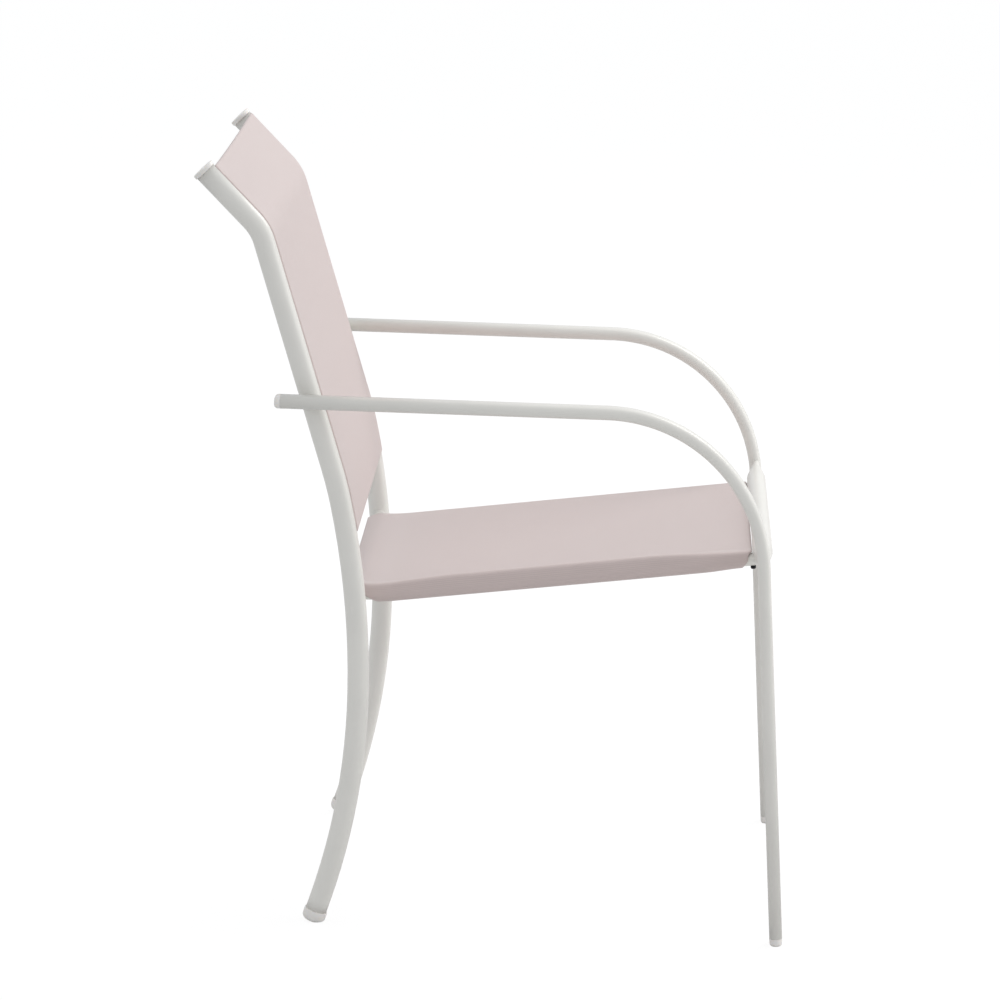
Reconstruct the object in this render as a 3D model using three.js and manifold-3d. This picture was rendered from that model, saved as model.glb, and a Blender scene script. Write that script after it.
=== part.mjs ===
// Sling patio chair: a bent steel tube frame with a stretched mesh seat and back.
// Millimetres. The sitter faces -Y, the sitter's right hand is towards -X, and +Z is up.
// The chair stands on z = 0, with the middle of its footprint at the origin.
import * as THREE from 'three';
import { mergeVertices } from 'three/addons/utils/BufferGeometryUtils.js';
import Module from 'manifold-3d';

const wasm = await Module();
wasm.setup();

// Clearance between pieces that touch, and how far a cut runs past what it cuts
const fit = 0.3;
const overrun = 2;

// Back uprights: each one round tube, bent from the rear foot to the top of the back
const upright = { radius: 12.5, wall: 1.5, halfSpan: 236.5, sides: 24 };
const uprightFoot = { forward: -196, height: 13.2, lean: 17.7, run: 13.5 };
const legSweep = { radius: 826, angle: 17.7 };
const lumbarSweep = { radius: 1025, angle: 12.8 };
const seatBend = { radius: 480, angle: 4.9 };
const backRun = 274;
const headBend = { radius: 60, angle: 27.3 };
const headRun = 76.5;

// Arms: each one flat-oval tube, from the front foot up, round the bend and back past the upright
const arm = { width: 25, thickness: 15, wall: 1.2, endSides: 10 };
const armFoot = { forward: 344.1, height: 9, lean: -4.1 };
const legRun = 443.5;
const armBend = { radius: 187, angle: 85.9 };
const armRun = 374;

// Crossbars: a stretcher between the front legs, whose ends are pressed flat and stand on edge,
// and a round bar between the uprights
const stretcher = { radius: 11.5, wall: 1.2, height: 457, cope: 3, sides: 24 };
const pressedEnd = { width: 12, height: 30, length: 45, steps: 4 };
const rearBar = { radius: 9, wall: 1.2, height: 386.7, cope: 5, sides: 20 };

// Seat rails: round tubes through the sleeves of the seat cloth, level behind and then rising
const rail = { radius: 7.5, wall: 1.2, insideUpright: 37.5, sides: 20 };
const railRear = { fall: 2, bendRadius: 260 };
const railFront = { belowStretcher: 9.5 };

// Cloth of both slings, and the outline of the seat cloth seen from above
const cloth = 1.2;
const sleeve = { aheadOfRearBar: 0.6, behindStretcher: 5, sides: 16 };
const seatRearBulge = { depth: 21, run: 34 };
const seatFrontRun = 22;

// Back cloth: it lies on the fronts of the uprights, and its edges pass a slit in each tube
const backHem = 469;
const backTopMargin = 2;
const slit = 2;
const splineRod = { radius: 2.7, sides: 10 };

// Plastic ends of the tubes
const cap = { radius: 13.75, rim: 3.6, crown: 1.6, stem: 18, sides: 24 };
const glide = { rim: 7, dome: 6.5, tread: 7 };
const plug = { arm: 7, foot: 9.8, round: 4.5, stem: 18 };

// Screws under the front ends of the rails, which stop the sleeves from sliding off
const screw = { headRadius: 3.6, headHeight: 3.4, shankRadius: 1.9, shankLength: 6, inset: 4.2, sides: 14 };

// Headings: straight up is 0, and level and forward is a quarter turn, in degrees
const levelLean = 90;

const bendStep = THREE.MathUtils.degToRad(6);
const sweepStep = THREE.MathUtils.degToRad(2.4);
const roundingSteps = 3;

const paintedSteel = new THREE.MeshStandardMaterial({ color: 0xdad7d2, roughness: 0.4, metalness: 0 });
const meshCloth = new THREE.MeshStandardMaterial({ color: 0xdccdc9, roughness: 0.85, metalness: 0 });
const endPlastic = new THREE.MeshStandardMaterial({ color: 0xd2cbc6, roughness: 0.5, metalness: 0 });
const rodPlastic = new THREE.MeshStandardMaterial({ color: 0x2a2a2c, roughness: 0.6, metalness: 0 });
const blackSteel = new THREE.MeshStandardMaterial({ color: 0x1c1c1e, roughness: 0.45, metalness: 0.7 });

// A line in the side view, made of straight runs and round bends. Its heading is measured
// from straight up and is positive where it leans forward, towards -Y.
class SideLine extends THREE.Curve {
  constructor(stations) {
    super();
    this.stations = stations;
  }

  static from({ forward, height, lean }) {
    return new SideLine([{ f: forward, z: height, heading: THREE.MathUtils.degToRad(lean) }]);
  }

  get end() {
    return this.stations[this.stations.length - 1];
  }

  run(length) {
    const { f, z, heading } = this.end;
    this.stations.push({ f: f + length * Math.sin(heading), z: z + length * Math.cos(heading), heading });
    return this;
  }

  // Turns backward through an angle in degrees
  bend({ radius, angle }, step = bendStep) {
    const first = this.end;
    const turn = THREE.MathUtils.degToRad(angle);
    const steps = Math.max(1, Math.round(turn / step));
    for (let i = 1; i <= steps; i += 1) {
      const heading = first.heading - (turn * i) / steps;
      this.stations.push({
        f: first.f + radius * (Math.cos(heading) - Math.cos(first.heading)),
        z: first.z + radius * (Math.sin(first.heading) - Math.sin(heading)),
        heading,
      });
    }
    return this;
  }

  // The station where one coordinate of the line, f or z, first reaches a value
  at(axis, value) {
    for (let i = 1; i < this.stations.length; i += 1) {
      const a = this.stations[i - 1];
      const b = this.stations[i];
      if ((a[axis] - value) * (b[axis] - value) <= 0) {
        const share = (value - a[axis]) / (b[axis] - a[axis]);
        return {
          f: THREE.MathUtils.lerp(a.f, b.f, share),
          z: THREE.MathUtils.lerp(a.z, b.z, share),
          heading: THREE.MathUtils.lerp(a.heading, b.heading, share),
        };
      }
    }
    throw new Error(`the line does not reach ${axis} = ${value}`);
  }

  // The part of a rising line above a height, or of a forward line ahead of a place
  past(axis, value) {
    const rest = this.stations.filter((station) => station[axis] > value);
    return new SideLine([this.at(axis, value), ...rest]);
  }

  upTo(axis, value) {
    const rest = this.stations.filter((station) => station[axis] < value);
    return new SideLine([...rest, this.at(axis, value)]);
  }

  // Lengthens the line straight on behind its first station
  runIn(length) {
    const { f, z, heading } = this.stations[0];
    const first = { f: f - length * Math.sin(heading), z: z - length * Math.cos(heading), heading };
    return new SideLine([first, ...this.stations]);
  }

  getPointAt(share, target = new THREE.Vector3()) {
    const place = share * (this.stations.length - 1);
    const index = Math.min(Math.floor(place), this.stations.length - 2);
    const a = this.stations[index];
    const b = this.stations[index + 1];
    const part = place - index;
    return target.set(0, -THREE.MathUtils.lerp(a.f, b.f, part), THREE.MathUtils.lerp(a.z, b.z, part));
  }

  // Sections keep their first axis at right angles to the line, on its front or lower side,
  // and their second axis along +X
  computeFrenetFrames() {
    const frames = { tangents: [], normals: [], binormals: [] };
    for (const { heading } of this.stations) {
      frames.tangents.push(new THREE.Vector3(0, -Math.sin(heading), Math.cos(heading)));
      frames.normals.push(new THREE.Vector3(0, -Math.cos(heading), -Math.sin(heading)));
      frames.binormals.push(new THREE.Vector3(1, 0, 0));
    }
    return frames;
  }
}

function sweep(section, line, sides) {
  return new THREE.ExtrudeGeometry(section, {
    steps: line.stations.length - 1,
    curveSegments: sides / 2,
    bevelEnabled: false,
    extrudePath: line,
  });
}

// Sections

function circle(radius, x = 0, y = 0) {
  return new THREE.Shape().absarc(x, y, radius, 0, 2 * Math.PI);
}

function ring(radius, wall) {
  const section = circle(radius);
  section.holes.push(circle(radius - wall));
  return section;
}

// A flat oval with its width along the second axis
function oval(width, thickness) {
  const radius = thickness / 2;
  const centre = width / 2 - radius;
  return new THREE.Shape()
    .absarc(0, centre, radius, 0, Math.PI)
    .absarc(0, -centre, radius, Math.PI, 2 * Math.PI);
}

function ovalRing(width, thickness, wall) {
  const section = oval(width, thickness);
  section.holes.push(oval(width - 2 * wall, thickness - 2 * wall));
  return section;
}

function rectangle(x0, x1, y0, y1) {
  return new THREE.Shape([
    new THREE.Vector2(x0, y0),
    new THREE.Vector2(x1, y0),
    new THREE.Vector2(x1, y1),
    new THREE.Vector2(x0, y1),
  ]);
}

// Booleans

function solid(geometry) {
  const bare = geometry.index ? geometry.toNonIndexed() : geometry.clone();
  bare.deleteAttribute('normal');
  bare.deleteAttribute('uv');
  const merged = mergeVertices(bare);
  return new wasm.Manifold(new wasm.Mesh({
    numProp: 3,
    vertProperties: new Float32Array(merged.attributes.position.array),
    triVerts: new Uint32Array(merged.index.array),
  }));
}

function geometryOf(manifold) {
  const mesh = manifold.getMesh();
  const geometry = new THREE.BufferGeometry();
  geometry.setAttribute('position', new THREE.BufferAttribute(mesh.vertProperties, 3));
  geometry.setIndex(new THREE.BufferAttribute(mesh.triVerts, 1));
  geometry.computeVertexNormals();
  return geometry;
}

// Turns a piece made along +Y, with its front on +Z, to stand on a station of a line.
// A piece on the foot of a tube points down the line instead of up it.
function seatedOn(geometry, { f, z, heading }, pointsDown = false) {
  const turn = heading + Math.PI / 2 + (pointsDown ? Math.PI : 0);
  return geometry
    .applyMatrix4(new THREE.Matrix4().makeRotationX(turn))
    .translate(0, -f, z);
}

// Everything below the floor, to cut the feet flat
function belowFloor(f) {
  const size = 4 * cap.radius;
  return solid(new THREE.BoxGeometry(size, size, size).translate(0, -f, -size / 2));
}

const chair = new THREE.Group();

function add(name, geometry, material, x = 0) {
  const mesh = new THREE.Mesh(geometry, material);
  mesh.name = name;
  mesh.position.x = x;
  chair.add(mesh);
}

function addPair(name, geometry, material, halfSpan) {
  add(`right_${name}`, geometry, material, -halfSpan);
  add(`left_${name}`, geometry, material, halfSpan);
}

// Centre lines

const uprightLine = SideLine.from(uprightFoot)
  .run(uprightFoot.run)
  .bend(legSweep, sweepStep)
  .bend(lumbarSweep, sweepStep)
  .bend(seatBend, sweepStep)
  .run(backRun)
  .bend(headBend)
  .run(headRun);

const armLine = SideLine.from(armFoot).run(legRun).bend(armBend).run(armRun);
const armHalfSpan = upright.halfSpan + upright.radius + fit + arm.width / 2;

const stretcherAt = armLine.at('z', stretcher.height);
const rearBarAt = uprightLine.at('z', rearBar.height);

// Each rail leaves the rear bar, bends up and runs straight to the stretcher
function makeRailLine() {
  const lean = levelLean + railRear.fall;
  const start = rearBarAt.z + rearBar.radius - rail.radius + fit;
  const line = SideLine.from({ forward: rearBarAt.f, height: start, lean });
  const { heading } = line.end;
  const radius = railRear.bendRadius;
  const ahead = stretcherAt.f - (rearBarAt.f - radius * Math.cos(heading));
  const frontHeight = stretcherAt.z - railFront.belowStretcher;
  const above = frontHeight - (start + radius * Math.sin(heading));
  const reach = Math.hypot(ahead, above);
  const turn = heading - (Math.atan2(ahead, above) - Math.asin(radius / reach));
  const straight = Math.sqrt(reach * reach - radius * radius);
  return line.bend({ radius, angle: THREE.MathUtils.radToDeg(turn) }, sweepStep).run(straight);
}
const railLine = makeRailLine();
const railHalfSpan = upright.halfSpan - rail.insideUpright;

// Back uprights, slit along the front from the hem of the back cloth to the top

const backLine = uprightLine.past('z', backHem);
const slitDepth = upright.wall + overrun;
const slitSection = rectangle(upright.radius - slitDepth, upright.radius + overrun, -slit / 2, slit / 2);
const slitLine = new SideLine([...backLine.stations]).runIn(overrun).run(overrun);
const uprightTube = solid(sweep(ring(upright.radius, upright.wall), uprightLine, upright.sides))
  .subtract(solid(sweep(slitSection, slitLine, upright.sides)));
addPair('back_upright', geometryOf(uprightTube), paintedSteel, upright.halfSpan);

// Arms with the front legs

const armTube = sweep(ovalRing(arm.width, arm.thickness, arm.wall), armLine, arm.endSides);
addPair('arm_and_front_leg', armTube, paintedSteel, armHalfSpan);

// Crossbars, with their ends shaped to the tubes that they meet

function crossbar({ radius, wall, sides }, { f, z }, halfLength) {
  return new THREE.ExtrudeGeometry(ring(radius, wall), {
    depth: 2 * halfLength,
    curveSegments: sides / 2,
    bevelEnabled: false,
  })
    .translate(0, 0, -halfLength)
    .rotateY(Math.PI / 2)
    .translate(0, -f, z);
}

// A crossbar whose ends are pressed to an upright oval, by an even change along their length
function pressedCrossbar({ radius, wall, sides }, { f, z }, halfLength) {
  const { width, height, length, steps } = pressedEnd;
  const rightEnd = [];
  for (let i = 0; i <= steps; i += 1) rightEnd.push((length * i) / steps - halfLength);
  const leftEnd = rightEnd.map((x) => -x).reverse();
  const stations = [...rightEnd, ...leftEnd];
  const tube = new THREE.ExtrudeGeometry(ring(radius, wall), {
    depth: stations.length - 1,
    steps: stations.length - 1,
    curveSegments: sides / 2,
    bevelEnabled: false,
  });
  const place = tube.attributes.position;
  for (let i = 0; i < place.count; i += 1) {
    const x = stations[Math.round(place.getZ(i))];
    const pressed = THREE.MathUtils.smoothstep(Math.abs(x), halfLength - length, halfLength);
    const depthShare = THREE.MathUtils.lerp(1, width / 2 / radius, pressed);
    const heightShare = THREE.MathUtils.lerp(1, height / 2 / radius, pressed);
    place.setXYZ(i, x, place.getX(i) * depthShare - f, place.getY(i) * heightShare + z);
  }
  return tube;
}

function copedBetween(bar, tubeSection, tubeLine, halfSpan, sides) {
  const tube = solid(sweep(tubeSection, tubeLine, sides));
  return solid(bar)
    .subtract(tube.translate([halfSpan, 0, 0]))
    .subtract(tube.translate([-halfSpan, 0, 0]));
}

const legClear = oval(arm.width + 2 * fit, arm.thickness + 2 * fit);
const stretcherHalf = armHalfSpan - arm.width / 2 + stretcher.cope;
const stretcherTube = copedBetween(
  pressedCrossbar(stretcher, stretcherAt, stretcherHalf), legClear, armLine, armHalfSpan, arm.endSides);
add('front_stretcher', geometryOf(stretcherTube), paintedSteel);

const uprightClear = circle(upright.radius + fit);
const rearBarHalf = upright.halfSpan - upright.radius + rearBar.cope;
const rearBarTube = copedBetween(
  crossbar(rearBar, rearBarAt, rearBarHalf), uprightClear, uprightLine, upright.halfSpan, upright.sides);
add('rear_crossbar', geometryOf(rearBarTube), paintedSteel);

// Seat rails, coped to both crossbars and drilled for the screws

const sleeveFront = stretcherAt.f - stretcher.radius - sleeve.behindStretcher;
const screwAt = railLine.at('f', sleeveFront + screw.inset);

// A solid bar along X, a clearance larger than a crossbar
function crossbarClear({ radius, sides }, { f, z }) {
  const length = 4 * rail.radius;
  return solid(new THREE.CylinderGeometry(radius + fit, radius + fit, length, sides)
    .rotateZ(Math.PI / 2)
    .translate(0, -f, z));
}

// A screw made along +Y with its head at the top; its seat is at y = 0
function screwBody(shankRadius, shankLength) {
  const { headRadius, headHeight, sides } = screw;
  const edge = headHeight / 2;
  return new THREE.LatheGeometry([
    new THREE.Vector2(0, -shankLength),
    new THREE.Vector2(shankRadius, -shankLength),
    new THREE.Vector2(shankRadius, 0),
    new THREE.Vector2(headRadius, 0),
    new THREE.Vector2(headRadius, edge),
    new THREE.Vector2(headRadius - edge, headHeight),
    new THREE.Vector2(0, headHeight),
  ], sides);
}

// The screw stands on the underside of the rail, square to it
function underRail(geometry) {
  const { f, z, heading } = screwAt;
  return geometry
    .translate(0, rail.radius + fit, 0)
    .applyMatrix4(new THREE.Matrix4().makeRotationX(heading + Math.PI))
    .translate(0, -f, z);
}

const railTube = solid(sweep(ring(rail.radius, rail.wall), railLine, rail.sides))
  .subtract(crossbarClear(rearBar, rearBarAt))
  .subtract(crossbarClear(stretcher, stretcherAt))
  .subtract(solid(underRail(screwBody(screw.shankRadius + fit, rail.wall + overrun))));
addPair('seat_rail', geometryOf(railTube), paintedSteel, railHalfSpan);
addPair('rail_screw', underRail(screwBody(screw.shankRadius, screw.shankLength)), blackSteel, railHalfSpan);

// Seat cloth, with a sleeve round each rail

const sleeveInner = rail.radius + fit;
const sleeveOuter = sleeveInner + cloth;

// The section stands with its upper side on -x: a flat cloth, and a loop at each end of it
function seatSection() {
  const span = railHalfSpan;
  const join = Math.acos(sleeveInner / sleeveOuter);
  const section = new THREE.Shape()
    .absarc(0, span, sleeveOuter, Math.PI, join - Math.PI, true)
    .absarc(0, -span, sleeveOuter, Math.PI - join, -Math.PI, true);
  section.holes.push(circle(sleeveInner, 0, span), circle(sleeveInner, 0, -span));
  return section;
}

// The cloth seen from above: the sleeves end short, and the cloth between them reaches out
// over the rear bar and up to the stretcher
function seatOutline() {
  const side = railHalfSpan + sleeveOuter + overrun;
  const inner = railHalfSpan - sleeveOuter;
  const rearSide = -(rearBarAt.f + rearBar.radius + sleeve.aheadOfRearBar);
  const rearMiddle = rearSide + seatRearBulge.depth;
  const frontSide = -sleeveFront;
  const frontMiddle = -(stretcherAt.f - stretcher.radius - fit);
  const rearFull = inner - seatRearBulge.run;
  const frontFull = inner - seatFrontRun;
  const shape = new THREE.Shape();
  shape.moveTo(side, rearSide);
  shape.lineTo(inner, rearSide);
  shape.quadraticCurveTo(inner - seatRearBulge.run / 4, rearMiddle, rearFull, rearMiddle);
  shape.lineTo(-rearFull, rearMiddle);
  shape.quadraticCurveTo(seatRearBulge.run / 4 - inner, rearMiddle, -inner, rearSide);
  shape.lineTo(-side, rearSide);
  shape.lineTo(-side, frontSide);
  shape.lineTo(-inner, frontSide);
  shape.quadraticCurveTo(seatFrontRun / 2 - inner, frontMiddle, -frontFull, frontMiddle);
  shape.lineTo(frontFull, frontMiddle);
  shape.quadraticCurveTo(inner - seatFrontRun / 2, frontMiddle, inner, frontSide);
  shape.lineTo(side, frontSide);
  return shape;
}

const seatReach = seatRearBulge.depth + 2 * rearBar.radius;
const seatCutter = new THREE.ExtrudeGeometry(seatOutline(), {
  depth: uprightLine.end.z,
  curveSegments: roundingSteps,
  bevelEnabled: false,
});
const seatCloth = solid(sweep(seatSection(), railLine.runIn(seatReach), sleeve.sides))
  .intersect(solid(seatCutter));
add('seat_sling', geometryOf(seatCloth), meshCloth);

// Back cloth on the fronts of the uprights, with a lip through each slit to its rod

const topStation = uprightLine.end;
const backTop = topStation.z - backTopMargin * Math.cos(topStation.heading);
const clothLine = backLine.upTo('z', backTop);
const clothInner = upright.radius + fit;
const clothOuter = clothInner + cloth;
const rodTop = upright.radius - upright.wall - fit;
const halfSheet = upright.halfSpan + cloth / 2;

const backSheet = sweep(rectangle(clothInner, clothOuter, -halfSheet, halfSheet), clothLine, upright.sides);
const lipSection = rectangle(rodTop + fit, clothOuter, -cloth / 2, cloth / 2);
const lip = solid(sweep(lipSection, clothLine, upright.sides));
const backCloth = solid(backSheet)
  .add(lip.translate([upright.halfSpan, 0, 0]))
  .add(lip.translate([-upright.halfSpan, 0, 0]));
add('back_sling', geometryOf(backCloth), meshCloth);

const rodCentre = rodTop - splineRod.radius;
const rod = sweep(circle(splineRod.radius, rodCentre), clothLine, splineRod.sides);
addPair('spline_rod', rod, rodPlastic, upright.halfSpan);

// Round ends of the uprights: a stem in the tube and a rim that covers its edge

function roundEnd(rimHeight, crownRadius, crownHeight) {
  const stemRadius = upright.radius - upright.wall - fit;
  const top = fit + rimHeight;
  const profile = [
    new THREE.Vector2(0, -cap.stem),
    new THREE.Vector2(stemRadius, -cap.stem),
    new THREE.Vector2(stemRadius, fit),
    new THREE.Vector2(cap.radius, fit),
  ];
  for (let i = 0; i <= roundingSteps; i += 1) {
    const turn = (i / roundingSteps) * (Math.PI / 2);
    const rounding = cap.radius - crownRadius;
    const x = crownRadius + rounding * Math.cos(turn);
    profile.push(new THREE.Vector2(x, top + crownHeight * Math.sin(turn)));
  }
  profile.push(new THREE.Vector2(0, top + crownHeight));
  return new THREE.LatheGeometry(profile, cap.sides);
}

// The stem of the top cap is flat on the side where the rod runs up beside it
const rodSide = rodCentre - splineRod.radius - fit;
const stemSize = 2 * (cap.stem + upright.radius);
const stemCut = new THREE.BoxGeometry(stemSize, stemSize, stemSize)
  .translate(0, -stemSize / 2, rodSide + stemSize / 2);
const topCap = solid(roundEnd(cap.rim, cap.radius - 2 * cap.crown, cap.crown)).subtract(solid(stemCut));
addPair('top_cap', seatedOn(geometryOf(topCap), topStation), endPlastic, upright.halfSpan);

const rearFoot = solid(seatedOn(roundEnd(glide.rim, glide.tread, glide.dome), uprightLine.stations[0], true))
  .subtract(belowFloor(uprightFoot.forward));
addPair('rear_glide', geometryOf(rearFoot), endPlastic, upright.halfSpan);

// Oval ends of the arm tubes: a domed head and a stem in the tube

function ovalEnd(length) {
  const slack = 2 * (arm.wall + fit);
  const stem = new THREE.ExtrudeGeometry(oval(arm.width - slack, arm.thickness - slack), {
    depth: plug.stem + length / 2,
    curveSegments: arm.endSides / 2,
    bevelEnabled: false,
  }).translate(0, 0, -plug.stem);
  const head = new THREE.ExtrudeGeometry(oval(arm.width, arm.thickness), {
    depth: length,
    curveSegments: arm.endSides / 2,
    bevelThickness: plug.round,
    bevelSize: plug.round,
    bevelOffset: -plug.round,
    bevelSegments: roundingSteps,
  }).translate(0, 0, fit - plug.round);
  const block = 4 * arm.width;
  const below = new THREE.BoxGeometry(block, block, block).translate(0, 0, fit - block / 2);
  const end = solid(head).subtract(solid(below)).add(solid(stem));
  return geometryOf(end).rotateZ(Math.PI / 2).rotateX(-Math.PI / 2);
}

addPair('arm_plug', seatedOn(ovalEnd(plug.arm), armLine.end), endPlastic, armHalfSpan);

const frontFoot = solid(seatedOn(ovalEnd(plug.foot), armLine.stations[0], true))
  .subtract(belowFloor(armFoot.forward));
addPair('front_glide', geometryOf(frontFoot), endPlastic, armHalfSpan);

// The middle of the footprint goes to the origin
const footprint = new THREE.Box3().setFromObject(chair).getCenter(new THREE.Vector3());
chair.position.y = -footprint.y;

export default chair;
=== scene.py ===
import math

import bmesh
import bpy
from mathutils import Matrix, Vector


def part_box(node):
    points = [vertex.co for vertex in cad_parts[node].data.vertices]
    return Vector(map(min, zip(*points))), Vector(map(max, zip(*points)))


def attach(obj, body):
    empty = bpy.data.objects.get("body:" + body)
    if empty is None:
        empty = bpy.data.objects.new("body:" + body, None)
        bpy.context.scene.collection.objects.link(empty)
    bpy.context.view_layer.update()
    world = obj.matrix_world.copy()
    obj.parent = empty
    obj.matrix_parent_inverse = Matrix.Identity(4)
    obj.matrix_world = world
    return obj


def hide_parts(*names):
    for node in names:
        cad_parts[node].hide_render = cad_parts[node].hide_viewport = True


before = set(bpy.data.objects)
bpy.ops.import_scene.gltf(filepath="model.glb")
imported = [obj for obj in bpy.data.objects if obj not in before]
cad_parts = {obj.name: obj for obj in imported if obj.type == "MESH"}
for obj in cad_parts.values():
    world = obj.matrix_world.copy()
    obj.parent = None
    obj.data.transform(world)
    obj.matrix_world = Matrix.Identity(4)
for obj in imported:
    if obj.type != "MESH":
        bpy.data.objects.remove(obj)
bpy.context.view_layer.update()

scene = bpy.context.scene
MM = 0.001

# Camera
# A long lens stands a little above the chair, on the sitter's right, and looks across it.
# It is turned slightly round its own axis, as it was held.
camera_place = Vector((-5.531, -0.1573, 1.6425))
camera_aim = Vector((0.9776, 0.0278, -0.2085)).normalized()
camera_roll = 0.0304
lens_length = 169.0
film_width = 36.0
farthest_seen = 200.0
camera_right = camera_aim.cross(Vector((0, 0, 1))).normalized()
camera_turn = Matrix((camera_right, camera_right.cross(camera_aim), -camera_aim)).transposed()

camera = bpy.data.objects.new("camera", bpy.data.cameras.new("camera"))
camera.data.sensor_width = film_width
camera.data.lens = lens_length
camera.data.clip_end = farthest_seen
camera.matrix_world = (
    Matrix.Translation(camera_place) @ camera_turn.to_4x4() @ Matrix.Rotation(camera_roll, 4, "Z")
)
scene.collection.objects.link(camera)
scene.camera = camera
scene.view_settings.view_transform = "Standard"

# Studio
# A white room with a white floor. A large soft lamp hangs ahead of the chair, on its far side,
# a wider one stands low in front, a weak one hangs above, and the room adds an even light.
room_light = 0.745
room_colour = (0.96, 0.98, 1.0)
floor_reach = 60.0
floor_colour = (0.7, 0.7, 0.7)
floor_glow_share = 0.8
floor_glow_strength = 1.12

world = bpy.data.worlds.new("white_room")
scene.world = world
world.use_nodes = True
room = world.node_tree
sky = room.nodes["Background"]
sky.inputs["Color"].default_value = (*room_colour, 1)
sky.inputs["Strength"].default_value = room_light
white = room.nodes.new("ShaderNodeBackground")
white.inputs["Color"].default_value = (1, 1, 1, 1)
white.inputs["Strength"].default_value = 1.0


def seen_share(nodes, share):
    """The share for what the camera sees itself, and none for what lights the chair."""
    path = nodes.nodes.new("ShaderNodeLightPath")
    part = nodes.nodes.new("ShaderNodeMath")
    part.operation = "MULTIPLY"
    part.inputs[1].default_value = share
    nodes.links.new(path.outputs["Is Camera Ray"], part.inputs[0])
    return part.outputs["Value"]


def mixed(nodes, factor, first, second, output):
    """Mixes two shaders into a material's or the room's output."""
    mix = nodes.nodes.new("ShaderNodeMixShader")
    nodes.links.new(factor, mix.inputs["Fac"])
    nodes.links.new(first, mix.inputs[1])
    nodes.links.new(second, mix.inputs[2])
    nodes.links.new(mix.outputs["Shader"], nodes.nodes[output].inputs["Surface"])


def lamp(name, place, aim, size, power, colour=(1, 1, 1)):
    light = bpy.data.lights.new(name, "AREA")
    light.shape = "DISK"
    light.size = size
    light.energy = power
    light.color = colour
    holder = bpy.data.objects.new(name, light)
    holder.location = place
    holder.rotation_euler = (Vector(aim) - Vector(place)).to_track_quat("-Z", "Y").to_euler()
    scene.collection.objects.link(holder)


def material(name, colour, roughness):
    made = bpy.data.materials.new(name)
    made.use_nodes = True
    shader = made.node_tree.nodes["Principled BSDF"]
    shader.inputs["Base Color"].default_value = (*colour, 1)
    shader.inputs["Roughness"].default_value = roughness
    return made, made.node_tree, shader


mixed(room, seen_share(room, 1.0), sky.outputs["Background"], white.outputs["Background"],
      "World Output")
lamp("key_over_front", place=(1.9, -2.2, 3.1), aim=(0, 0, 0.5), size=2.4, power=56,
     colour=(1.0, 0.985, 0.965))
lamp("low_front", place=(0.2, -3.8, 1.3), aim=(0, 0, 0.5), size=3.4, power=35,
     colour=(1.0, 0.985, 0.97))
lamp("top", place=(0.5, 0.6, 3.6), aim=(0, 0, 0.4), size=2.8, power=10)

floor_material, floor_nodes, floor_shader = material("white_floor", floor_colour, roughness=0.9)
floor_shader.inputs["Specular IOR Level"].default_value = 0.0
glow = floor_nodes.nodes.new("ShaderNodeEmission")
glow.inputs["Strength"].default_value = floor_glow_strength
mixed(floor_nodes, seen_share(floor_nodes, floor_glow_share), floor_shader.outputs["BSDF"],
      glow.outputs["Emission"], "Material Output")

floor_mesh = bpy.data.meshes.new("floor")
floor_shape = bmesh.new()
bmesh.ops.create_grid(floor_shape, x_segments=1, y_segments=1, size=floor_reach)
floor_shape.to_mesh(floor_mesh)
floor_mesh.materials.append(floor_material)
floor = bpy.data.objects.new("floor", floor_mesh)
scene.collection.objects.link(floor)

# Back uprights
# Each back upright is one round steel tube, bent from the rear foot to the top of the back,
# with a slit along its front for the cloth's edge. Like the rest of the frame it has a baked
# coat of warm white powder: glossy, faintly rippled, and a little uneven in thickness.
upright_radius = 12.5 * MM
upright_wall = 1.5 * MM
upright_half_span = 236.5 * MM
upright_sides = 40
slit_bottom = 464 * MM
slit_width = 2 * upright_radius * math.sin(math.pi / upright_sides)
bend_step = math.radians(1.5)
coat_colour = (0.815, 0.798, 0.755)
coat_dark_share = 0.96
coat_cloud = 60 * MM
coat_ripple = 0.9 * MM
ripple_depth = 0.02 * MM
tint_from = 0.3
tint_to = 0.7
sides = (("right", -1), ("left", 1))


def noise(nodes, coordinates, pitch):
    texture = nodes.nodes.new("ShaderNodeTexNoise")
    texture.inputs["Scale"].default_value = 1 / pitch
    nodes.links.new(coordinates, texture.inputs["Vector"])
    return texture.outputs["Fac"]


def tint(nodes, factor, dark, light):
    """A colour from dark to light with a factor, clear of the factor's rare ends."""
    ramp = nodes.nodes.new("ShaderNodeValToRGB")
    ramp.color_ramp.elements[0].color = (*dark, 1)
    ramp.color_ramp.elements[0].position = tint_from
    ramp.color_ramp.elements[1].color = (*light, 1)
    ramp.color_ramp.elements[1].position = tint_to
    nodes.links.new(factor, ramp.inputs["Fac"])
    return ramp.outputs["Color"]


def shade(colour, share):
    return tuple(share * part for part in colour)


def relief(nodes, shader, height, depth, strength):
    bump = nodes.nodes.new("ShaderNodeBump")
    bump.inputs["Strength"].default_value = strength
    bump.inputs["Distance"].default_value = depth
    nodes.links.new(height, bump.inputs["Height"])
    nodes.links.new(bump.outputs["Normal"], shader.inputs["Normal"])


def rippled(nodes, shader, pitch, depth, strength):
    """A fine, even relief all over a finish."""
    place = nodes.nodes.new("ShaderNodeTexCoord").outputs["Object"]
    relief(nodes, shader, noise(nodes, place, pitch), depth, strength)


def clouded(nodes, shader, colour, dark_share, pitch):
    """Soft clouds in a finish, from its colour down to a share of it."""
    place = nodes.nodes.new("ShaderNodeTexCoord").outputs["Object"]
    clouds = tint(nodes, noise(nodes, place, pitch), shade(colour, dark_share), colour)
    nodes.links.new(clouds, shader.inputs["Base Color"])


def run(length):
    return (length, 0.0)


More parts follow.
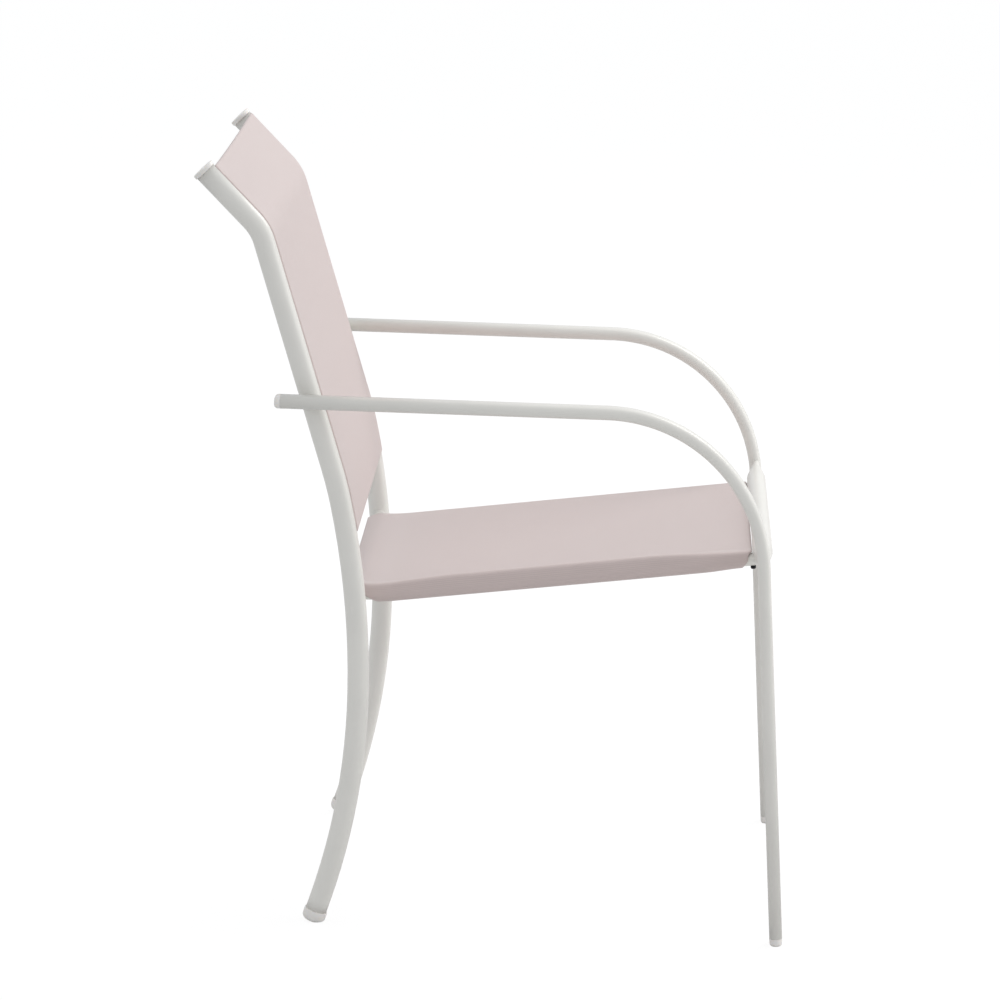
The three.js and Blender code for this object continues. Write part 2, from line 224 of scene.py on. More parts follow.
def bend(radius, degrees):
    return (radius * math.radians(degrees), math.radians(degrees))


def ahead(lean):
    return Vector((0, -math.sin(lean), math.cos(lean)))


def behind(lean):
    return Vector((0, math.cos(lean), math.sin(lean)))


class Line:
    """A tube's middle line in the side view: straight runs, and bends towards the back."""

    def __init__(self, start, lean, *parts):
        self.start, self.lean, self.parts = Vector(start), math.radians(lean), parts
        self.length = sum(length for length, turn in parts)

    def at(self, distance):
        """The place at a distance along the line, and the line's lean there."""
        place, lean = self.start.copy(), self.lean
        left = distance
        for number, (length, turn) in enumerate(self.parts):
            last = number == len(self.parts) - 1
            step = left if last or left < length else length
            if turn:
                radius = length / turn
                turned = turn * step / length
                place += radius * (behind(lean) - behind(lean - turned))
                lean -= turned
            else:
                place += step * ahead(lean)
            left -= step
            if left <= 0:
                break
        return place, lean

    def rings(self, low, high):
        """Distances for a tube's rings: its two ends, and steps along the bends between them."""
        distances, done = [], 0.0
        for length, turn in self.parts:
            steps = max(1, round(turn / bend_step)) if turn else 1
            distances += [done + length * (i + 1) / steps for i in range(steps)]
            done += length
        return [low, *(distance for distance in distances if low < distance < high), high]

    def bent(self, shape):
        """Bends a shape made straight up the z axis, with its front towards -Y."""
        for vert in shape.verts:
            place, lean = self.at(vert.co.z)
            vert.co = place + vert.co.x * Vector((1, 0, 0)) + vert.co.y * behind(lean)


def extruded(shape, edges):
    """Extrudes edges in place, and gives the new verts and the new edges between them."""
    grown = bmesh.ops.extrude_edge_only(shape, edges=edges)["geom"]
    verts = {part for part in grown if isinstance(part, bmesh.types.BMVert)}
    edges = [part for part in grown if isinstance(part, bmesh.types.BMEdge)]
    return list(verts), [edge for edge in edges if verts.issuperset(edge.verts)]


def swept(shape, edges, heights):
    """Draws a section's edges straight up the z axis, with a ring at each height."""
    for height, next_height in zip(heights, heights[1:]):
        verts, edges = extruded(shape, edges)
        bmesh.ops.translate(shape, verts=verts, vec=(0, 0, next_height - height))
    return edges


def round_section(shape, radius, section_sides):
    turn = Matrix.Rotation(math.pi / section_sides, 4, "Z")
    bmesh.ops.create_circle(shape, segments=section_sides, radius=radius, matrix=turn)
    return shape.edges[:]


def put(name, shape, finish, slot, *stands_for, sharp=40):
    """Makes a piece from its shape: smooth, with its finish, on the chair's one body."""
    mesh = bpy.data.meshes.new(name)
    shape.to_mesh(mesh)
    shape.free()
    mesh.materials.append(finish)
    mesh.shade_smooth()
    mesh.set_sharp_from_angle(angle=math.radians(sharp))
    piece = bpy.data.objects.new(name, mesh)
    scene.collection.objects.link(piece)
    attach(piece, "root")
    if stands_for:
        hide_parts(*stands_for)
    return piece


def wall(piece, thickness):
    """Gives a skin its thickness, on its inner side."""
    solidify = piece.modifiers.new("wall", "SOLIDIFY")
    solidify.thickness = thickness
    solidify.offset = -1
    solidify.use_even_offset = True


def bent_tube(name, line, section, x, thickness, node, slit=None):
    """A tube bent along a line, at its place across the chair."""
    tube = bmesh.new()
    swept(tube, section(tube), line.rings(0.0, line.length))
    bmesh.ops.recalc_face_normals(tube, faces=tube.faces)
    line.bent(tube)
    if slit:
        slit(tube)
    bmesh.ops.translate(tube, verts=tube.verts, vec=(x, 0, 0))
    wall(put(name, tube, coat, "painted_steel", node), thickness)


def cut_slit(tube):
    """Cuts the strip along the front of an upright, from the slit's bottom up."""
    bmesh.ops.bisect_plane(
        tube, geom=[*tube.verts, *tube.edges, *tube.faces],
        plane_co=(0, 0, slit_bottom), plane_no=(0, 0, 1),
    )
    slit_faces = [
        face for face in tube.faces
        if abs(face.calc_center_median().x) < slit_width / 2
        and face.normal.y < 0 and face.calc_center_median().z > slit_bottom
    ]
    bmesh.ops.delete(tube, geom=slit_faces, context="FACES")


coat, coat_nodes, coat_shader = material("powder_coat", coat_colour, roughness=0.42)
coat_shader.inputs["Coat Weight"].default_value = 0.3
coat_shader.inputs["Coat Roughness"].default_value = 0.15
clouded(coat_nodes, coat_shader, coat_colour, coat_dark_share, coat_cloud)
rippled(coat_nodes, coat_shader, coat_ripple, ripple_depth, strength=0.4)

upright_line = Line(
    (0, 195.02 * MM, 13.2 * MM), 17.7,
    run(13.5 * MM),
    bend(826 * MM, 17.7),
    bend(1025 * MM, 12.8),
    bend(480 * MM, 4.9),
    run(274 * MM),
    bend(60 * MM, 27.3),
    run(76.5 * MM),
)
for side, sign in sides:
    bent_tube(
        f"{side}_upright_tube", upright_line,
        lambda tube: round_section(tube, upright_radius, upright_sides),
        sign * upright_half_span, upright_wall, f"{side}_back_upright", cut_slit)

# Arms
# Each arm is one flat-oval tube: it is also the front leg. It rises from the front foot,
# bends back and runs level past the outer side of the upright, where it is welded.
arm_width = 25 * MM
arm_thickness = 15 * MM
arm_wall = 1.2 * MM
arm_sides = 36
arm_half_span = 261.8 * MM
arm_line = Line(
    (0, -345.08 * MM, 9 * MM), -4.1,
    run(443.5 * MM),
    bend(187 * MM, 85.9),
    run(374 * MM),
)


def oval_section(shape, width, thickness):
    """A round section, parted in the middle to a flat oval."""
    edges = round_section(shape, thickness / 2, arm_sides)
    for direction in (-1, 1):
        half = [vert for vert in shape.verts if vert.co.x * direction > 0]
        bmesh.ops.translate(shape, verts=half, vec=(direction * (width - thickness) / 2, 0, 0))
    return edges


for side, sign in sides:
    bent_tube(
        f"{side}_arm_tube", arm_line,
        lambda tube: oval_section(tube, arm_width, arm_thickness),
        sign * arm_half_span, arm_wall, f"{side}_arm_and_front_leg")

# Crossbars
# A stretcher joins the front legs under the front of the seat, and a thinner bar joins the
# uprights under its rear edge. The stretcher's ends are pressed flat, and all are welded.
stretcher_radius = 11.5 * MM
stretcher_reach = 252 * MM
pressed_width = 12 * MM
pressed_height = 30 * MM
pressed_length = 45 * MM
pressed_steps = 12
rear_bar_radius = 9 * MM
rear_bar_reach = 226 * MM
bar_wall = 1.2 * MM
bar_sides = 36
bead_radius = 1.5 * MM
bead_sunk = 0.6 * MM
bead_past_leg = 1 * MM
bead_sides = 10
bead_steps = 40
same_place = 0.001 * MM
stretcher_low, stretcher_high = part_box("front_stretcher")
stretcher_place = (stretcher_low + stretcher_high) / 2
rear_bar_low, rear_bar_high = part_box("rear_crossbar")
rear_bar_place = (rear_bar_low + rear_bar_high) / 2
along_x = Matrix.Rotation(math.pi / 2, 4, "Y")


def smooth_step(low, high, value):
    share = min(max((value - low) / (high - low), 0.0), 1.0)
    return share * share * (3 - 2 * share)


def crossbar(name, place, radius, reach, node, pressed=0.0):
    """A tube across the chair, with a length at each end pressed to an upright oval."""
    bar = bmesh.new()
    rings = [0.0]
    if pressed:
        rings = [pressed * i / pressed_steps for i in range(pressed_steps + 1)]
    swept(bar, round_section(bar, radius, bar_sides),
          rings + [2 * reach - ring for ring in reversed(rings)])
    bmesh.ops.translate(bar, verts=bar.verts, vec=(0, 0, -reach))
    for vert in bar.verts:
        share = smooth_step(reach - pressed, reach, abs(vert.co.z)) if pressed else 0.0
        vert.co.x *= 1 + share * (pressed_height / 2 / radius - 1)
        vert.co.y *= 1 + share * (pressed_width / 2 / radius - 1)
    bmesh.ops.transform(bar, verts=bar.verts, matrix=Matrix.Translation(place) @ along_x)
    bmesh.ops.recalc_face_normals(bar, faces=bar.faces)
    wall(put(name, bar, coat, "painted_steel", node), bar_wall)


def turned(shape, profile, steps):
    """Turns a profile of (radius, height) points once round the z axis."""
    verts = [shape.verts.new((radius, 0, height)) for radius, height in profile]
    edges = [shape.edges.new(pair) for pair in zip(verts, verts[1:])]
    bmesh.ops.spin(
        shape, geom=edges + verts, axis=(0, 0, 1), cent=(0, 0, 0),
        angle=2 * math.pi, steps=steps, use_merge=True,
    )
    bmesh.ops.remove_doubles(shape, verts=shape.verts, dist=same_place)
    bmesh.ops.recalc_face_normals(shape, faces=shape.faces)


def weld_bead(name, place, half_width, half_height):
    """A bead of weld round the end of a crossbar, as oval as the end."""
    bead = bmesh.new()
    profile = [
        (1 + bead_radius / half_height * math.cos(turn), bead_radius * math.sin(turn))
        for turn in (2 * math.pi * i / bead_sides for i in range(bead_sides + 1))
    ]
    turned(bead, profile, bead_steps)
    bmesh.ops.scale(bead, verts=bead.verts, vec=(half_height, half_width, 1))
    bmesh.ops.transform(bead, verts=bead.verts, matrix=Matrix.Translation(place) @ along_x)
    put(name, bead, coat, "painted_steel", sharp=180)


crossbar("stretcher_tube", stretcher_place, stretcher_radius, stretcher_reach,
         "front_stretcher", pressed_length)
crossbar("rear_bar_tube", rear_bar_place, rear_bar_radius, rear_bar_reach, "rear_crossbar")
leg_inner = arm_half_span - arm_width / 2 + bead_past_leg
upright_inner = upright_half_span - upright_radius
for side, sign in sides:
    ends = (
        ("stretcher", stretcher_place, leg_inner, pressed_width, pressed_height),
        ("rear_bar", rear_bar_place, upright_inner, 2 * rear_bar_radius, 2 * rear_bar_radius),
    )
    for name, place, reach, width, height in ends:
        weld_bead(f"{side}_{name}_weld", Vector((sign * reach, place.y, place.z)),
                  width / 2 - bead_sunk, height / 2 - bead_sunk)

# Seat rails
# Each seat rail is a round tube in the sleeve of the seat cloth. It is bent up a little at
# the rear, rises straight to the stretcher, and is welded to both crossbars.
rail_radius = 7.5 * MM
rail_half_span = 199 * MM
rail_sides = 36
rail_end_gap = 2 * MM
rail_line = Line(
    (0, 157.93 * MM, 388.5 * MM), 92,
    bend(260 * MM, 9.585),
    run(430.97 * MM),
)


def closed_bar(shape, line, radius, section_sides, low, high, reach=0.0):
    """A bar with closed ends along a line, or beside it by a reach towards the front."""
    rings = line.rings(low, high)
    edges = round_section(shape, radius, section_sides)
    bmesh.ops.contextual_create(shape, geom=edges)
    bmesh.ops.translate(shape, verts=shape.verts, vec=(0, -reach, low))
    bmesh.ops.contextual_create(shape, geom=swept(shape, edges, rings))
    bmesh.ops.recalc_face_normals(shape, faces=shape.faces)
    line.bent(shape)


for side, sign in sides:
    tube = bmesh.new()
    closed_bar(
        tube, rail_line, rail_radius, rail_sides, rail_end_gap, rail_line.length - rail_end_gap)
    bmesh.ops.translate(tube, verts=tube.verts, vec=(sign * rail_half_span, 0, 0))
    put(f"{side}_rail_tube", tube, coat, "painted_steel", f"{side}_seat_rail")

# Back sling
# The back cloth is a plain weave of plastic-coated threads, pale pinkish beige, stretched
# between the uprights. Each side edge passes into the slit of its tube, round a rod, and the
# top and bottom edges have a folded, sewn hem. The seat is cut from the same cloth.
cloth_colour = (0.655, 0.548, 0.528)
cloth_thickness = 1.2 * MM
cloth_gap = 0.3 * MM
thread_pitch = 1.15 * MM
thread_depth = 0.25 * MM
# Shares of the cloth's colour for painted shade in the weave's hollows and a painted highlight on
# its raised threads.
hollow_shade_share = 0.9
thread_highlight_share = 1.03
streak_width = 3 * MM
streak_squeeze = 0.06
streak_share = 0.965
back_grid = (150, 190)
grid_crowding = 0.85
back_reach = upright_radius + cloth_gap + cloth_thickness / 2
edge_turn = 1.6 * MM
lip_arc = edge_turn * math.pi / 2
lip_depth = 4.5 * MM
back_hem = 20 * MM
hem_gap = 1.35 * MM
fold_arc = hem_gap * math.pi / 2
back_bottom = 469 * MM
back_top_margin = 3.5 * MM
back_belly = 3 * MM
top_bow = 1 * MM
top_bow_run = 90 * MM
hem_flat_from = 0.985
halvings = 40


def weave(nodes, uv, pitch):
    """Height of a plain weave: warp and weft threads, over each other by turns."""
    apart = nodes.nodes.new("ShaderNodeSeparateXYZ")
    nodes.links.new(uv, apart.inputs["Vector"])

    def calculate(operation, *values):
        node = nodes.nodes.new("ShaderNodeMath")
        node.operation = operation
        for socket, value in zip(node.inputs, values):
            if isinstance(value, (int, float)):
                socket.default_value = value
            else:
                nodes.links.new(value, socket)
        return node.outputs["Value"]

    turn = math.pi / pitch
    across = calculate("MULTIPLY", apart.outputs["X"], turn)
    along = calculate("MULTIPLY", apart.outputs["Y"], turn)
    warp = calculate("ABSOLUTE", calculate("SINE", across))
    weft = calculate("ABSOLUTE", calculate("SINE", along))
    cross = calculate("MULTIPLY", calculate("SINE", across), calculate("SINE", along))
    over = calculate("MULTIPLY_ADD", cross, 0.5, 0.5)
    warp_height = calculate("MULTIPLY", warp, over)
    weft_height = calculate("MULTIPLY", weft, calculate("SUBTRACT", 1.0, over))
    return calculate("MAXIMUM", warp_height, weft_height)


def closer_outwards(place):
    """Moves a place from -1 to 1 so that even steps become shorter towards both ends."""
    quarter = math.pi / 2 * grid_crowding
    return math.sin(place * quarter) / math.sin(quarter)


def cut_cloth(width, length, grid):
    """A flat piece of cloth, with its cut's own measures as UVs in metres."""
    shape = bmesh.new()
    bmesh.ops.create_grid(shape, x_segments=grid[0], y_segments=grid[1], size=1)
    for vert in shape.verts:
        vert.co.x = closer_outwards(vert.co.x) * width / 2
        vert.co.y = closer_outwards(vert.co.y) * length / 2
    cut = shape.loops.layers.uv.new("cut")
    for face in shape.faces:
        for loop in face.loops:
            loop[cut].uv = loop.vert.co.xy
    return shape


def draped(name, shape, drape, node):
    """Lays a flat cut on the chair, point by point, and gives it its thickness."""
    for vert in shape.verts:
        vert.co = drape(vert.co.x, vert.co.y)
    bmesh.ops.recalc_face_normals(shape, faces=shape.faces)
    piece = put(name, shape, cloth, "mesh_cloth", node, sharp=180)
    solidify = piece.modifiers.new("cloth_thickness", "SOLIDIFY")
    solidify.thickness = cloth_thickness
    solidify.offset = 0
    return piece


def last_place(low, high, holds):
    """The place between low and high up to which something holds, found by halving."""
    for _ in range(halvings):
        middle = (low + high) / 2
        low, high = (middle, high) if holds(middle) else (low, middle)
    return low


def fold_back(distance, low, high):
    """Where a cut with a hem folded behind both ends lies: (distance, how far behind)."""
    for end, sign in ((low, 1), (high, -1)):
        past = (end - distance) * sign
        if past > fold_arc:
            return end + sign * (past - fold_arc), hem_gap
        if past > 0:
            turn = past / (hem_gap / 2)
            return end - sign * hem_gap / 2 * math.sin(turn), hem_gap / 2 * (1 - math.cos(turn))
    return distance, 0.0


def drape_back(u, v):
    """Where a point of the back's flat cut lies on the chair."""
    side = math.copysign(1, u)
    past = abs(u) - back_flat_run
    x, depth = abs(u), 0.0
    if past > 0:
        turn = min(past / edge_turn, math.pi / 2)
        x = back_flat_run + edge_turn * math.sin(turn)
        depth = edge_turn * (1 - math.cos(turn)) + max(0.0, past - lip_arc)
    distance, fold = fold_back((back_from + back_to) / 2 + v, back_from, back_to)
    place, lean = upright_line.at(distance)
    share = min(1.0, abs(u) / upright_half_span)
    slack = 1 - share ** 2
    belly = back_belly * slack * math.sin(math.pi * (distance - back_from) / (back_to - back_from))
    place -= top_bow * slack * smooth_step(back_to - top_bow_run, back_to, distance) * ahead(lean)
    behind_front = depth + fold * (1 - smooth_step(hem_flat_from, 1.0, share)) + belly
    return place + (behind_front - back_reach) * behind(lean) + Vector((side * x, 0, 0))


cloth, cloth_nodes, cloth_shader = material("woven_cloth", cloth_colour, roughness=0.6)
cloth_shader.inputs["Sheen Weight"].default_value = 0.4
cloth_shader.inputs["Sheen Roughness"].default_value = 0.4
cloth_shader.inputs["Specular IOR Level"].default_value = 0.5
cloth_uv = cloth_nodes.nodes.new("ShaderNodeUVMap")
cloth_uv.uv_map = "cut"
weave_height = weave(cloth_nodes, cloth_uv.outputs["UV"], thread_pitch)
relief(cloth_nodes, cloth_shader, weave_height, thread_depth, strength=0.6)
# The cloth's colour follows the weave's height: painted shade where the weave is sunk, and a
# painted highlight where the threads are raised.
weave_shade_and_highlight_colour = tint(
    cloth_nodes, weave_height,
    shade(cloth_colour, hollow_shade_share), shade(cloth_colour, thread_highlight_share),
)
streaks = cloth_nodes.nodes.new("ShaderNodeMapping")
streaks.inputs["Scale"].default_value = (1.0, streak_squeeze, 1.0)
cloth_nodes.links.new(cloth_uv.outputs["UV"], streaks.inputs["Vector"])
streak_noise = noise(cloth_nodes, streaks.outputs["Vector"], streak_width)
streak_colour = tint(cloth_nodes, streak_noise, shade((1, 1, 1), streak_share), (1, 1, 1))
streaked = cloth_nodes.nodes.new("ShaderNodeMix")
streaked.data_type = "RGBA"
streaked.blend_type = "MULTIPLY"
streaked.inputs["Factor"].default_value = 1.0
cloth_nodes.links.new(weave_shade_and_highlight_colour, streaked.inputs["A"])
cloth_nodes.links.new(streak_colour, streaked.inputs["B"])
cloth_nodes.links.new(streaked.outputs["Result"], cloth_shader.inputs["Base Color"])

back_from = last_place(
    0.0, upright_line.length, lambda distance: upright_line.at(distance)[0].z < back_bottom)
back_to = upright_line.length - back_top_margin
back_flat_run = upright_half_span - edge_turn
back_cut_width = 2 * (back_flat_run + lip_arc + lip_depth)
back_cut_length = back_to - back_from + 2 * (fold_arc + back_hem)
back_cut = cut_cloth(back_cut_width, back_cut_length, back_grid)
back_cloth = draped("back_cloth", back_cut, drape_back, "back_sling")

# Seat sling
# The seat cloth is stretched between the rails. Each side is folded round its rail and sewn to
# the underside as a sleeve, slack at the rear, with a crease along its top. On the sitter's
# right the crease stands up above the rail. The front and rear ends have sewn hems too.
seat_grid = (190, 190)
seat_hem = 18 * MM
seat_sag = 4 * MM
sleeve_radius = rail_radius + cloth_gap + cloth_thickness / 2
sleeve_turn = math.radians(205)
sleeve_lap = 20 * MM
sleeve_rear = 149 * MM
sleeve_front = 295.5 * MM
sleeve_crease = 0.55
sleeve_corner = (math.radians(10), math.radians(70))
rear_bulge = 21 * MM
rear_bulge_flat_after = 6 * MM
rear_bulge_droop = 0.3
front_bulge = 5.2 * MM
rear_slack = 0.12
middle_slack = 0.23
front_slack = 0.03
middle_slack_at = 0.85
front_slack_from = 0.88
rear_slant = 16 * MM
rear_slant_to = 0.12
front_slant = 7.2 * MM
front_slant_from = 0.9
right_crease_lift = 6.5 * MM
lift_reach = 25 * MM
rear_lift_share = 0.5
front_lift_share = 0.3
full_lift_from = 0.25
full_lift_to = 0.75

seat_side_arc = sleeve_radius * sleeve_turn
seat_cut_width = 2 * (rail_half_span + seat_side_arc + sleeve_lap)
seat_run = sleeve_front + sleeve_rear
seat_hemless = seat_run + rear_bulge + front_bulge
seat_cut_length = seat_hemless + 2 * (fold_arc + seat_hem)


def forward_on_rail(forward):
    """The distance along the rail's line at a place ahead of the chair's middle."""
    ahead_of_start = forward + rail_line.start.y
    if ahead_of_start < 0:
        return ahead_of_start
    return last_place(
        0.0, rail_line.length,
        lambda distance: rail_line.start.y - rail_line.at(distance)[0].y < ahead_of_start)


def sleeve_outline(turn):
    """How far out and up the sleeve lies at a turn from its top, as shares of its radius.

    It is round below, and above its side it is squarer, up to the crease along the top.
    """
    if turn >= math.pi / 2:
        return math.sin(turn), math.cos(turn)
    share = turn / (math.pi / 2)
    evening = 1 / sleeve_crease
    even = share ** evening / (share ** evening + (1 - share) ** evening) * math.pi / 2
    return math.sin(even) ** sleeve_crease, math.cos(even) ** sleeve_crease


def sleeve_slack(share):
    """How far the sleeve hangs below its rail at a share of the seat's run from the rear."""
    slack = rear_slack + (middle_slack - rear_slack) * smooth_step(0, middle_slack_at, share)
    return slack + (front_slack - middle_slack) * smooth_step(front_slack_from, 1.0, share)


def crease_lift(share, x):
    """How far the right sleeve's crease stands above a plain sleeve."""
    lift = right_crease_lift
    lift *= rear_lift_share + (1 - rear_lift_share) * smooth_step(0, full_lift_from, share)
    lift *= 1 - (1 - front_lift_share) * smooth_step(full_lift_to, 1.0, share)
    return lift * smooth_step(rail_half_span - lift_reach, rail_half_span, x)


def end_slant(share):
    """How far the sleeve's lower corners are cut in towards the seat's middle."""
    rear = rear_slant * smooth_step(rear_slant_to, 0.0, share)
    return rear - front_slant * smooth_step(front_slant_from, 1.0, share)


def drape_seat(u, v):
    """Where a point of the seat's flat cut lies on the chair."""
    side = math.copysign(1, u)
    past = abs(u) - rail_half_span
    x, height, turn = abs(u), 0.0, 0.0
    if past > 0:
        turn = min(past / sleeve_radius, sleeve_turn)
        lap = max(0.0, past - seat_side_arc)
        out, up = sleeve_outline(turn)
        x = rail_half_span + sleeve_radius * out + lap * math.cos(turn)
        height = sleeve_radius * (up - 1) - lap * math.sin(turn)
    reach = 1 - smooth_step(*sleeve_corner, turn)
    rear_end = -sleeve_rear - reach * rear_bulge
    front_end = sleeve_front + reach * front_bulge
    half = seat_hemless / 2
    if abs(v) <= half:
        forward = rear_end + (v / half + 1) / 2 * (front_end - rear_end)
    else:
        forward = rear_end + (v + half) if v < 0 else front_end + (v - half)
    forward, fold = fold_back(forward, rear_end, front_end)
    share = (forward + sleeve_rear) / seat_run
    behind_sleeve = max(0.0, -sleeve_rear - forward)
    if turn < math.pi / 2:
        height *= 1 - smooth_step(0, rear_bulge_flat_after, behind_sleeve)
    below = max(0.0, -height - sleeve_radius)
    height -= below * sleeve_slack(share)
    if u < 0:
        height += crease_lift(share, x) * max(0.0, 1 + height / sleeve_radius)
    sag_across = 1 - min(1.0, x / rail_half_span) ** 2
    sag_along = math.sin(math.pi * min(max(share, 0), 1))
    height -= seat_sag * sag_across * sag_along
    height -= fold * math.cos(turn)
    x -= fold * math.sin(turn)
    height -= rear_bulge_droop * behind_sleeve ** 2 / rear_bulge
    forward += end_slant(share) * min(1.0, below / sleeve_radius)
    place, lean = rail_line.at(forward_on_rail(forward))
    return place + (sleeve_radius + height) * behind(lean) + Vector((side * x, 0, 0))


seat_cut = cut_cloth(seat_cut_width, seat_cut_length, seat_grid)
seat_cloth = draped("seat_cloth", seat_cut, drape_seat, "seat_sling")

# Plastic ends
# Moulded pale plastic closes each tube: a flanged round cap at the top of each upright
# and under its foot, and an oval plug in the arm's rear end and under the front leg.
plastic_colour = (0.88, 0.85, 0.82)
plastic_dark_share = 0.94
plastic_cloud = 8 * MM
plastic_grain = 0.6 * MM
grain_depth = 0.02 * MM
stem_depth = 18 * MM
stem_radius = upright_radius - upright_wall - 0.3 * MM
oval_stem_inset = arm_wall + 0.2 * MM
tube_gap = 0.1 * MM
end_steps = 48
cap_radius = 13.75 * MM
rim_rounding = 0.5 * MM
cap_side = 3.7 * MM
cap_rounding = 1.6 * MM
cap_rounded_to = 75
cap_shoulder = 5.6 * MM
cap_height = 5.9 * MM
glide_side = 7.3 * MM
glide_rounding = 6.5 * MM
arm_plug_height = 7 * MM
front_glide_height = 9.8 * MM
plug_rounding = 4.5 * MM
plug_rounded_at = (18, 36, 54, 72, 85)

plastic, plastic_nodes, plastic_shader = material("end_plastic", plastic_colour, roughness=0.45)
plastic_shader.inputs["Subsurface Weight"].default_value = 0.15
plastic_shader.inputs["Subsurface Radius"].default_value = (2 * MM, 1.6 * MM, 1.2 * MM)
plastic_shader.inputs["Subsurface Scale"].default_value = 1.0
clouded(plastic_nodes, plastic_shader, plastic_colour, plastic_dark_share, plastic_cloud)
rippled(plastic_nodes, plastic_shader, plastic_grain, grain_depth, strength=0.5)


def arc_profile(radius, height, rounding, start, end, steps):
    """Points of a profile along an arc about the point at a radius and a height."""
    turns = (math.radians(start + (end - start) * i / steps) for i in range(steps + 1))
    return [(radius + rounding * math.cos(turn), height + rounding * math.sin(turn))
            for turn in turns]


def set_on(shape, place, lean, x):
    """Sets a shape made up the z axis on a place of a line, at its place across the chair."""
    place.x = x
    matrix = Matrix.Translation(place) @ Matrix.Rotation(lean, 4, "X")
    bmesh.ops.transform(shape, verts=shape.verts, matrix=matrix)


def set_on_top(shape, line, x):
    set_on(shape, *line.at(line.length), x)


def set_on_floor(shape, line, x):
    """Turns a shape over under a line's foot, and cuts it level with the floor."""
    place, lean = line.at(0)
    set_on(shape, place, lean + math.pi, x)
    bmesh.ops.bisect_plane(
        shape, geom=[*shape.verts, *shape.edges, *shape.faces],
        plane_co=(0, 0, 0), plane_no=(0, 0, -1), clear_outer=True,
    )
    open_edges = [edge for edge in shape.edges if edge.is_boundary]
    bmesh.ops.contextual_create(shape, geom=open_edges)


def oval_plug(height):
    """A domed oval head on a stem, standing up the z axis from the tube's end."""
    shape = bmesh.new()
    side_height = height - plug_rounding
    rows = [(-stem_depth, oval_stem_inset), (tube_gap, oval_stem_inset), (tube_gap, 0.0),
            (side_height, 0.0)]
    rows += [
        (side_height + plug_rounding * math.sin(turn), plug_rounding * (1 - math.cos(turn)))
        for turn in map(math.radians, plug_rounded_at)
    ]
    edges = oval_section(
        shape, arm_width - 2 * oval_stem_inset, arm_thickness - 2 * oval_stem_inset)
    bmesh.ops.translate(shape, verts=shape.verts, vec=(0, 0, -stem_depth))
    bmesh.ops.contextual_create(shape, geom=edges)
    half_straight = (arm_width - arm_thickness) / 2
    for (low, inset), (high, next_inset) in zip(rows, rows[1:]):
        verts, edges = extruded(shape, edges)
        bmesh.ops.translate(shape, verts=verts, vec=(0, 0, high - low))
        growth = (arm_thickness / 2 - next_inset) / (arm_thickness / 2 - inset)
        for vert in verts:
            middle = math.copysign(half_straight, vert.co.x)
            vert.co.x = middle + (vert.co.x - middle) * growth
            vert.co.y *= growth
    bmesh.ops.contextual_create(shape, geom=edges)
    bmesh.ops.recalc_face_normals(shape, faces=shape.faces)
    return shape


stem_and_rim = [
    (0, -stem_depth), (stem_radius, -stem_depth), (stem_radius, tube_gap),
    *arc_profile(cap_radius - rim_rounding, tube_gap + rim_rounding, rim_rounding, -90, 0, 3),
]
cap_profile = stem_and_rim + [
    *arc_profile(cap_radius - cap_rounding, cap_side, cap_rounding, 0, cap_rounded_to, 5),
    (cap_radius / 2, cap_shoulder), (0, cap_height),
]
glide_profile = stem_and_rim + [
    *arc_profile(cap_radius - glide_rounding, glide_side, glide_rounding, 0, 90, 10),
    (0, glide_side + glide_rounding),
]
for side, sign in sides:
    cap = bmesh.new()
    turned(cap, cap_profile, end_steps)
    set_on_top(cap, upright_line, sign * upright_half_span)
    put(f"{side}_cap", cap, plastic, "end_plastic", f"{side}_top_cap", sharp=50)

for side, sign in sides:
    rear_foot = bmesh.new()
    turned(rear_foot, glide_profile, end_steps)
    set_on_floor(rear_foot, upright_line, sign * upright_half_span)
    put(f"{side}_rear_foot", rear_foot, plastic, "end_plastic", f"{side}_rear_glide", sharp=50)

for side, sign in sides:
    arm_end = oval_plug(arm_plug_height)
    set_on_top(arm_end, arm_line, sign * arm_half_span)
    put(f"{side}_arm_end", arm_end, plastic, "end_plastic", f"{side}_arm_plug", sharp=50)
    front_foot = oval_plug(front_glide_height)
    set_on_floor(front_foot, arm_line, sign * arm_half_span)
    put(f"{side}_front_foot", front_foot, plastic, "end_plastic", f"{side}_front_glide", sharp=50)

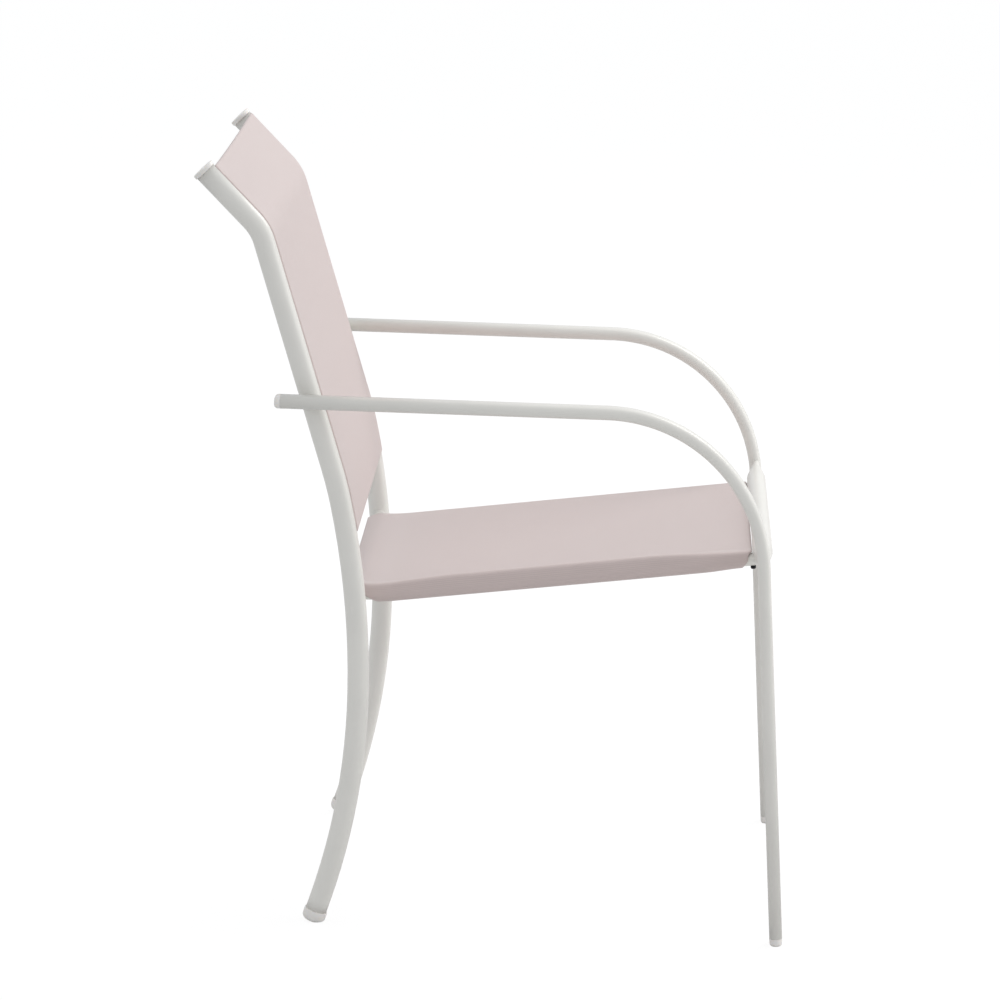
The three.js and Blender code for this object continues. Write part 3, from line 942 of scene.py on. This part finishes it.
# Spline rods
# A black plastic rod lies in each upright, behind the slit. The edge of the back cloth
# is held round it, and its top shows as a dark spot in the slit, under the cap.
rod_colour = (0.02, 0.02, 0.02)
rod_radius = 2.7 * MM
rod_reach = 8.0 * MM
rod_sides = 16
rod_grain = 1.5 * MM
rod_grain_depth = 0.05 * MM
rod_bottom = back_from - 2 * MM
rod_top = upright_line.length - 0.2 * MM

rod_plastic, rod_nodes, rod_shader = material("rod_plastic", rod_colour, roughness=0.5)
rippled(rod_nodes, rod_shader, rod_grain, rod_grain_depth, strength=0.5)

for side, sign in sides:
    rod = bmesh.new()
    closed_bar(rod, upright_line, rod_radius, rod_sides, rod_bottom, rod_top, rod_reach)
    bmesh.ops.translate(rod, verts=rod.verts, vec=(sign * upright_half_span, 0, 0))
    put(f"{side}_rod", rod, rod_plastic, "spline_plastic", f"{side}_spline_rod", sharp=50)

# Rail screws
# A black screw stands under the front end of each rail, just ahead of the sleeve, and
# stops the cloth from sliding off.
screw_colour = (0.012, 0.012, 0.013)
screw_forward = 301.5 * MM
screw_gap = 0.1 * MM
screw_depth = 6 * MM
shank_radius = 1.9 * MM
head_radius = 3.2 * MM
head_height = 3.8 * MM
head_rounding = 1.6 * MM
screw_steps = 24
screw_grain = 0.5 * MM

black_steel, screw_nodes, screw_shader = material("black_steel", screw_colour, roughness=0.35)
screw_shader.inputs["Metallic"].default_value = 0.6
rippled(screw_nodes, screw_shader, screw_grain, grain_depth, strength=0.5)

screw_profile = [
    (0, -screw_depth), (shank_radius, -screw_depth), (shank_radius, 0), (head_radius, 0),
    *arc_profile(head_radius - head_rounding, head_height - head_rounding, head_rounding, 0, 90, 5),
    (0, head_height),
]
for side, sign in sides:
    screw = bmesh.new()
    turned(screw, screw_profile, screw_steps)
    place, lean = rail_line.at(forward_on_rail(screw_forward))
    place -= (rail_radius + screw_gap) * behind(lean)
    set_on(screw, place, lean + math.pi / 2, sign * rail_half_span)
    put(f"{side}_screw", screw, black_steel, "black_screw", f"{side}_rail_screw", sharp=50)
